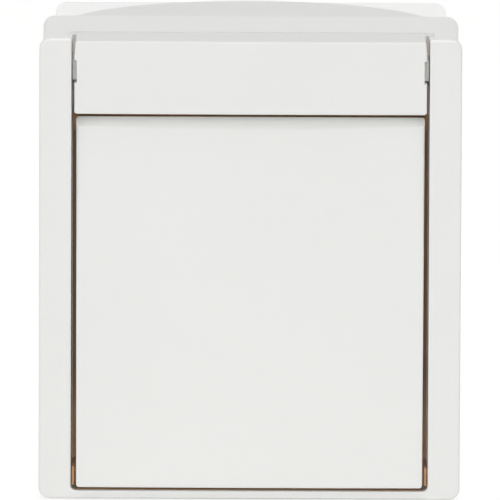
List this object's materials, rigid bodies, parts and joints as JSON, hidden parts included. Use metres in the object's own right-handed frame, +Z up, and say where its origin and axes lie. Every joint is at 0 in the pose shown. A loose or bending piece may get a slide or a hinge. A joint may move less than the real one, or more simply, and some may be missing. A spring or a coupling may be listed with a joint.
{
  "type": "outdoor weatherproof switch",
  "caption": "Surface-mounted weatherproof rocker switch: rear box, deep cover frame with arched top tongue, snap-in cover strip, large tilting rocker and sealed snap-action contact insert.",
  "frame": {"origin": "centre of the rear face of the box, on the wall plane", "axes": "+X to the right seen from the front, +Y back into the wall, +Z up"},
  "size_m": [0.074, 0.0521, 0.0818],
  "materials": {
    "box_plastic": "satin moulded thermoplastic, white",
    "white_plastic": "smooth moulded thermoplastic, white",
    "diaphragm_rubber": "matt moulded elastomer, brown",
    "seal_rubber": "matt moulded elastomer, black",
    "grommet_rubber": "matt moulded elastomer, light grey",
    "insert_plastic": "matt thermoset, dark grey",
    "carrier_plastic": "satin moulded thermoplastic, light grey",
    "spring_steel": "drawn spring wire",
    "screw_steel": "zinc-plated steel",
    "contact_brass": "stamped strip",
    "contact_silver": "silver contact alloy"
  },
  "bodies": {
    "housing": {"rear_box": "box_plastic", "cover_frame": "white_plastic", "cover_strip": "white_plastic", "sealing_diaphragm": "diaphragm_rubber", "rim_gasket": "seal_rubber", "screw_seals": "seal_rubber", "cable_grommet_left": "grommet_rubber", "cable_grommet_right": "grommet_rubber", "insert_base": "insert_plastic", "insert_cover": "insert_plastic", "cover_screws": "screw_steel", "insert_screws": "screw_steel", "terminal_screws": "screw_steel", "common_terminal": "contact_brass", "upper_contact": "contact_brass", "lower_contact": "contact_brass", "terminal_clamp_upper": "contact_brass", "terminal_clamp_lower": "contact_brass", "terminal_clamp_common": "contact_brass", "fixed_contact_rivets": "contact_silver"},
    "rocker_assembly": {"rocker": "white_plastic", "rocker_carrier": "carrier_plastic", "plunger": "carrier_plastic", "detent_spring": "spring_steel"},
    "contact_arm": {"contact_seesaw": "contact_brass", "moving_contact_rivets": "contact_silver"}
  },
  "joints": [
    {"name": "rocker_tilt", "type": "hinge", "parent": "housing", "child": "rocker_assembly", "pos_m": [0, -0.043, -0.00625], "axis": [1, 0, 0], "range_deg": [0, 3.8]},
    {"name": "contact_tilt", "type": "hinge", "parent": "housing", "child": "contact_arm", "pos_m": [0, -0.026, -0.00625], "axis": [1, 0, 0], "range_deg": [-17.3, 0]}
  ],
  "couplings": [
    {"joint": "contact_tilt", "follows": "rocker_tilt", "ratio": -4.5}
  ]
}
